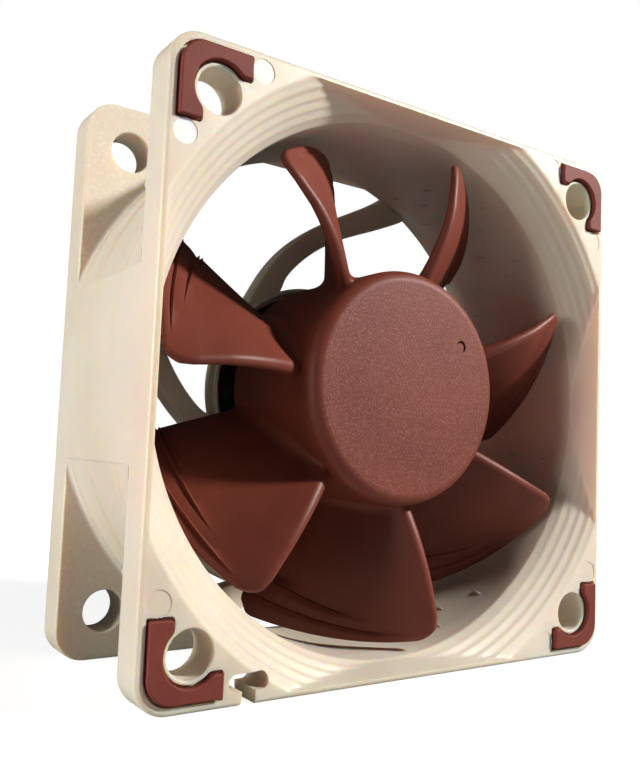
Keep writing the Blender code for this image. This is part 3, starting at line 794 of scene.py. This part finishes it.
def build_dashes(cream):
    """Short raised dashes along the tube's inner wall, which thin the air's boundary layer."""
    draws = np.random.default_rng(7)
    points = []
    faces = []
    for row, y in enumerate(np.arange(*DASH_ROWS)):
        for step in range(DASH_COUNT):
            degrees = 360 / DASH_COUNT * (step + 0.5 * (row % 2)) + draws.uniform(-2, 2)
            length = draws.uniform(*DASH_LENGTHS)
            first = len(points)
            for along in np.linspace(-1, 1, 7):
                for across in np.linspace(-1, 1, 5):
                    height = DASH_HEIGHT * max(0.0, 1 - along * along) * (1 - across * across)
                    aside = across * DASH_HALF_WIDTH + along * DASH_LEAN
                    turn = degrees + math.degrees(aside / BORE_RADIUS)
                    points.append(polar(BORE_RADIUS + 0.02 - height, turn, y + along * length / 2))
            faces += [tuple(first + corner for corner in face) for face in grid_faces(7, 5, False, False)]
    dashes = link("wall_dashes", mesh_of("wall_dashes", points, faces), STATOR_BODY, cream)
    dashes.data.shade_smooth()


def build_nubs(cream):
    """Small round nubs on the back of the front flange, by its left edge."""
    meshes = []
    turns = np.arange(24) * 15.0
    middle = FRONT + FLANGE + NUB_RISE
    for x, z in NUB_PLACES:
        rows = []
        for step in range(13):
            angle = math.radians(15 * step - 90)
            ring = polar(NUB_RADIUS * math.cos(angle), turns, middle + NUB_LENGTH * math.sin(angle))
            rows.append(ring + (x, 0, z))
        meshes.append(mesh_of("nub", np.array(rows), grid_faces(13, 24, False, True)))
    nubs = link("tube_nubs", join_meshes("tube_nubs", meshes), STATOR_BODY, cream)
    nubs.data.shade_smooth()


def build_pads(rubber):
    """The eight corner pads, as deep as their nodes and with rounded edges."""
    corners = ((0, "upper_right"), (90, "upper_left"), (180, "lower_left"), (270, "lower_right"))
    for turn, corner in corners:
        for side in ("front", "rear"):
            node = f"{side}_pad_{corner}"
            low_corner, high_corner = (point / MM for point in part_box(node))
            mesh = prism(node, pad_outline(turn, 0), low_corner.y, high_corner.y)
            pad = link(node + "_soft", mesh, STATOR_BODY, rubber, [node])
            edge = pad.modifiers.new("round_edges", "BEVEL")
            edge.width = PAD_BEVEL * MM
            edge.segments = 4
            edge.limit_method = "ANGLE"
            edge.angle_limit = math.radians(35)
            apply_modifiers(pad)
            soften(pad, 40)


# ---------------------------------------------------------------- the impeller

def between(ends, share):
    """The value at a share of the way from one end to the other."""
    return ends[0] + (ends[1] - ends[0]) * share


def channel_radius(channel, chord):
    radius, fall = channel[1:3]
    return radius - fall * chord


def channel_width(channel, chord):
    start, width = channel[0], channel[3]
    return CHANNEL_TIP + (width - CHANNEL_TIP) * max(0.0, chord - start) / (1 - start)


def blade_rows(chord):
    """Radii of the blade's rows at one place on the chord. Rows near the tip follow the channels."""
    rows = [ROOT_RADIUS, 12.4, 12.6, 12.75, 12.95, 13.2, 13.5, 13.9, 14.5, 15.4, 16.5, 17.7, 19.0, 20.2,
            21.2, 21.8]
    for channel in CHANNELS:
        radius = channel_radius(channel, chord)
        width = channel_width(channel, chord)
        rows += [radius - RIDGE_WIDTH, radius - 0.09, radius - 0.02, radius + 0.06]
        rows += [radius + width * 0.4, radius + width * 0.75]
    top = TIP_RADIUS - TIP_EDGE
    rows = sorted(min(radius, top - 0.01) for radius in rows)
    rows += [top + TIP_EDGE * math.sin(math.radians(15 * i)) for i in range(7)]
    for i in range(1, len(rows)):
        rows[i] = max(rows[i], rows[i - 1] + 0.004)
    return [min(radius, TIP_RADIUS) for radius in rows]


def channel_depth(radius, chord):
    """How far a point of the front side is sunk by the channels, below zero on their ridges."""
    sunk = 0.0
    for channel in CHANNELS:
        grown = min(1.0, max(0.0, chord - channel[0]) / 0.22)
        off = radius - channel_radius(channel, chord)
        width = channel_width(channel, chord)
        if grown <= 0 or off > width or off < -RIDGE_WIDTH:
            continue
        if off < 0.01:
            sunk -= CHANNEL_RIDGE * grown * (1 + off / RIDGE_WIDTH)
        else:
            sunk += CHANNEL_DEPTH * grown * (1 - off / width) ** 1.6
    return sunk


def blade_point(radius, chord, side, scale):
    """A point of the blade. The chord share runs from the leading to the trailing edge."""
    share = (radius - HUB_RADIUS) / (TIP_RADIUS - HUB_RADIUS)
    bow = share * (1 - share)
    leading_y = between(LEADING_Y, share) + LEADING_BULGE * bow
    leading_angle = between(LEADING_ANGLE, share) + LEADING_SWEEP * bow
    inset = max(0.0, (radius - TIP_RADIUS + TIP_CORNER) / TIP_CORNER)
    trim = 0.11 * (1 - math.sqrt(max(0.0, 1 - inset * inset)))
    slope_y = between(TRAILING_Y, share) - leading_y
    slope_arc = radius * math.radians(between(TRAILING_ANGLE, share) - leading_angle)
    length = math.hypot(slope_y, slope_arc)
    full = between(BLADE_THICKNESS, share)
    nose = 0.5 * full * 0.68 / length
    tail = 0.5 * full * 0.3 / length
    place = trim + (1 - 2 * trim) * chord
    y = between((leading_y, between(TRAILING_Y, share)), place)
    degrees = between((leading_angle, between(TRAILING_ANGLE, share)), place)
    degrees -= CAMBER * 4 * place * (1 - place) * (0.4 + 0.6 * share)
    thick = full * (0.3 + 0.7 * max(0.0, math.sin(math.pi * min(1.0, 0.12 + chord * 0.88))) ** 0.6)
    if chord < nose:
        thick *= math.sqrt(max(0.0, 1 - (1 - chord / nose) ** 2))
    if chord > 1 - tail:
        thick *= math.sqrt(max(0.0, 1 - (1 - (1 - chord) / tail) ** 2))
    offset = side * thick / 2 * scale
    if side > 0:
        offset -= channel_depth(radius, chord) * scale
    above = radius - HUB_RADIUS
    if above < ROOT_FILLET:
        rise = ROOT_FILLET - max(above, 0.0)
        spread = ROOT_FILLET - math.sqrt(max(0.0, ROOT_FILLET ** 2 - rise * rise))
        offset += side * spread * math.sin(math.pi * chord) ** 0.5 if 0 < chord < 1 else 0
    y += offset * slope_arc / length
    degrees -= math.degrees(offset * slope_y / length / radius)
    return degrees, y


def chord_steps():
    """Places along the chord, closer together at its rounded ends."""
    nose = [0.035 * (1 - math.cos(math.radians(15 * i))) for i in range(6)]
    middle = list(np.linspace(0.035, 0.985, 60))
    tail = [1 - 0.013 * (1 - math.sin(math.radians(22.5 * i))) for i in range(1, 5)]
    return nose + middle + tail


def blade_mesh(index):
    turn = FIRST_BLADE + 360 * index / BLADES
    steps = chord_steps()
    loop = [(chord, 1) for chord in steps] + [(chord, -1) for chord in reversed(steps[1:-1])]
    heights = {chord: blade_rows(chord) for chord in steps}
    count = len(heights[steps[0]])
    points = []
    for row in range(count):
        cap = max(0, row - (count - 7))
        scale = math.cos(math.radians(15 * cap))
        for chord, side in loop:
            radius = heights[chord][row]
            degrees, y = blade_point(radius, chord, side, scale)
            points.append(polar(radius, turn + degrees, y))
    wide = len(loop)
    faces = grid_faces(count, wide, False, True)
    faces.append(tuple(range(wide)))
    last = (count - 1) * wide
    faces.append(tuple(range(last + wide - 1, last - 1, -1)))
    return mesh_of(f"blade_{index + 1}", points, faces)


def hub_mesh():
    """The hub's cup, with the boss that holds the shaft's bush."""
    profile = [(0, HUB_FRONT)]
    for i in range(13):
        angle = math.radians(7.5 * i)
        profile.append((HUB_RADIUS - HUB_EDGE + HUB_EDGE * math.sin(angle),
                        HUB_FRONT + HUB_EDGE - HUB_EDGE * math.cos(angle)))
    bush_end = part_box("shaft_bush")[1].y / MM
    socket = 2.5
    profile += [
        (HUB_RADIUS, HUB_REAR - 0.2),
        (HUB_RADIUS - 0.2, HUB_REAR),
        (HUB_RADIUS - HUB_WALL, HUB_REAR),
        (HUB_RADIUS - HUB_WALL, CAP_INNER),
        (HUB_BOSS_RADIUS, CAP_INNER),
        (HUB_BOSS_RADIUS, bush_end),
        (socket, bush_end),
        (socket, CAP_INNER + 0.3),
        (0, CAP_INNER + 0.3),
    ]
    return lathe("hub", profile, 192)


def gate_mesh():
    """A cutter for the small mark where the plastic was let in: a crescent-shaped nick."""
    outline = []
    for degrees in range(-75, 166, 15):
        angle = math.radians(degrees)
        outline.append((GATE_X + GATE_RADIUS * math.cos(angle), GATE_Z + GATE_RADIUS * math.sin(angle)))
    for degrees in range(160, -71, -15):
        angle = math.radians(degrees)
        inner = GATE_RADIUS - GATE_WIDTH * math.sin(math.radians((degrees + 75) * 180 / 240)) ** 0.8
        outline.append((GATE_X - 0.03 + inner * math.cos(angle), GATE_Z - 0.03 + inner * math.sin(angle)))
    return prism("gate", outline, HUB_FRONT - 0.4, HUB_FRONT + 0.3)


def build_impeller(maroon):
    impeller = link("impeller_fine", hub_mesh(), ROTOR_BODY, maroon, ["impeller"])
    for index in range(BLADES):
        boolean(impeller, blade_mesh(index), "UNION")
    boolean(impeller, gate_mesh(), "DIFFERENCE")
    soften(impeller, 38)


# ---------------------------------------------------------------- the inner pieces

def finish_nodes():
    """Materials for the inner pieces, which show their own nodes."""
    steel = turned_metal("shaft_steel", (0.56, 0.56, 0.57), 0.25)
    yoke = grained("yoke_zinc", (0.42, 0.42, 0.41), (0.58, 0.58, 0.56), 2.2, 0.36, 0.006, 1.0)
    magnet = grained("ferrite", (0.035, 0.035, 0.038), (0.065, 0.064, 0.062), 0.5, 0.62)
    brass = turned_metal("turned_brass", (0.76, 0.55, 0.26), 0.26)
    bronze = grained("porous_bronze", (0.3, 0.17, 0.08), (0.5, 0.32, 0.17), 0.25, 0.5, 0.02, 0.9)
    seal = grained("black_rubber", (0.02, 0.02, 0.02), (0.04, 0.04, 0.04), 0.8, 0.75)
    nylon = grained("white_nylon", (0.7, 0.69, 0.63), (0.8, 0.79, 0.74), 3.0, 0.45)
    core = pressed_steel("laminations", (0.4, 0.4, 0.41), 0.35)
    copper = windings()
    tin = turned_metal("tinned_pin", (0.72, 0.71, 0.69), 0.3)
    board = laminate()
    chip = grained("chip_black", (0.02, 0.02, 0.021), (0.04, 0.04, 0.04), 0.4, 0.5)
    ceramic = grained("ceramic_tan", (0.42, 0.3, 0.16), (0.55, 0.4, 0.24), 0.7, 0.45)
    film = grained("label_plain", (0.52, 0.47, 0.4), (0.6, 0.55, 0.48), 6.0, 0.38, 0.004)
    finishes = {
        "rotor_yoke": yoke, "ring_magnet": magnet, "shaft_bush": brass, "rotor_shaft": steel,
        "shaft_clip": steel, "bearing_shell": brass, "sleeve_bearing": bronze, "oil_seal": seal,
        "thrust_pad": nylon, "stator_core": core, "front_insulator": nylon, "rear_insulator": nylon,
        "circuit_board": board,
        "hall_sensor": chip, "driver_chip": chip, "capacitor_1": ceramic, "capacitor_2": ceramic,
        "rear_label": film,
    }
    for i in range(1, 5):
        finishes[f"coil_{i}"] = copper
        finishes[f"winding_pin_{i}"] = tin
    for name, surface in finishes.items():
        node = NODES[name]
        if node.data.materials:
            for index in range(len(node.data.materials)):
                node.data.materials[index] = surface
        else:
            node.data.materials.append(surface)


# ---------------------------------------------------------------- stage, light and camera

def build_stage():
    """A pale floor that fades into the white backdrop, darker near the object as painted shade. Its glow is
    seen but lights nothing.
    """
    size = 6.0
    mesh = bpy.data.meshes.new("floor")
    corners = [(-size, -size, 0), (size, -size, 0), (size, size, 0), (-size, size, 0)]
    mesh.from_pydata(corners, [], [(0, 1, 2, 3)])
    floor = bpy.data.objects.new("floor", mesh)
    bpy.context.scene.collection.objects.link(floor)
    floor.location.z = -0.05 * MM
    shade = Shader("pale_floor", (0.42, 0.42, 0.42), 0.16)
    faint = shade.noise(60, 2)
    shade.set(Base_Color=shade.mix(shade.spread(faint, 0.3, 0.7), rgb(0.4, 0.4, 0.4), rgb(0.44, 0.44, 0.44)))
    camera_only = shade.node("ShaderNodeLightPath").outputs["Is Camera Ray"]
    shade.set(Specular_IOR_Level=0.35, Emission_Color=rgb(1, 1, 1))
    far = shade.node("ShaderNodeVectorMath", {0: shade.place}, operation="LENGTH").outputs["Value"]
    # The glow is dimmer within 5 cm of the floor's middle under the object. This is painted shade round the
    # object, which fades to white by 17 cm.
    glow_with_painted_shade = shade.spread(far, 0.05, 0.17, 0.85, 1.0)
    shade.set(Emission_Strength=shade.math("MULTIPLY", camera_only, glow_with_painted_shade))
    mesh.materials.append(shade.material)


def area_light(name, place, size, power, colour=(1, 1, 1), aim=(0, 0, 30)):
    """A round softbox. Its place, size and aim are in millimetres."""
    data = bpy.data.lights.new(name, "AREA")
    data.shape = "DISK"
    data.size = size * MM
    data.energy = power
    data.color = colour
    light = bpy.data.objects.new(name, data)
    bpy.context.scene.collection.objects.link(light)
    light.location = Vector(place) * MM
    light.rotation_euler = (Vector(aim) * MM - light.location).to_track_quat("-Z", "Y").to_euler()


def build_light():
    """A key from the upper right, a softbox on the left, and a backdrop that the camera sees white."""
    world = bpy.data.worlds.new("studio")
    bpy.context.scene.world = world
    world.use_nodes = True
    nodes = world.node_tree.nodes
    links = world.node_tree.links
    dim = nodes["Background"]
    dim.inputs["Color"].default_value = (1, 1, 1, 1)
    dim.inputs["Strength"].default_value = 0.03
    white = nodes.new("ShaderNodeBackground")
    white.inputs["Color"].default_value = (1, 1, 1, 1)
    white.inputs["Strength"].default_value = 1.0
    mix = nodes.new("ShaderNodeMixShader")
    path = nodes.new("ShaderNodeLightPath")
    links.new(path.outputs["Is Camera Ray"], mix.inputs["Fac"])
    links.new(dim.outputs[0], mix.inputs[1])
    links.new(white.outputs[0], mix.inputs[2])
    links.new(mix.outputs[0], nodes["World Output"].inputs["Surface"])
    area_light("key", (325, -300, 290), 56, 3.9, (1.0, 0.985, 0.965))
    area_light("left_softbox", (-430, -5, 60), 220, 2.2)
    area_light("low_fill", (-120, -190, 12), 90, 0.03, aim=(-15, 0, 5))


def build_camera():
    """The camera stands in front, to the left and a little low, and looks slightly up."""
    azimuth = math.radians(CAMERA_AZIMUTH)
    elevation = math.radians(CAMERA_ELEVATION)
    roll = math.radians(CAMERA_ROLL)
    forward = Vector((-math.sin(azimuth) * math.cos(elevation), math.cos(azimuth) * math.cos(elevation),
                      math.sin(elevation)))
    right = forward.cross(Vector((0, 0, 1))).normalized()
    up = right.cross(forward)
    turned_right = right * math.cos(roll) + up * math.sin(roll)
    turned_up = up * math.cos(roll) - right * math.sin(roll)
    data = bpy.data.cameras.new("camera")
    data.sensor_width = 36
    data.lens = CAMERA_LENS
    data.shift_y = CAMERA_SHIFT
    data.clip_start = 0.001
    data.clip_end = 20
    camera = bpy.data.objects.new("camera", data)
    bpy.context.scene.collection.objects.link(camera)
    camera.matrix_world = Matrix((turned_right, turned_up, -forward)).transposed().to_4x4()
    camera.location = Vector(CAMERA_PLACE) * MM
    bpy.context.scene.camera = camera


def main():
    bpy.context.scene.view_settings.view_transform = "Standard"
    bpy.context.scene.view_settings.gamma = 0.87
    build_camera()
    build_light()
    build_stage()
    cream = cream_plastic()
    build_frame(cream)
    build_base(cream)
    build_dashes(cream)
    build_nubs(cream)
    build_pads(silicone())
    build_impeller(maroon_plastic())
    finish_nodes()


main()
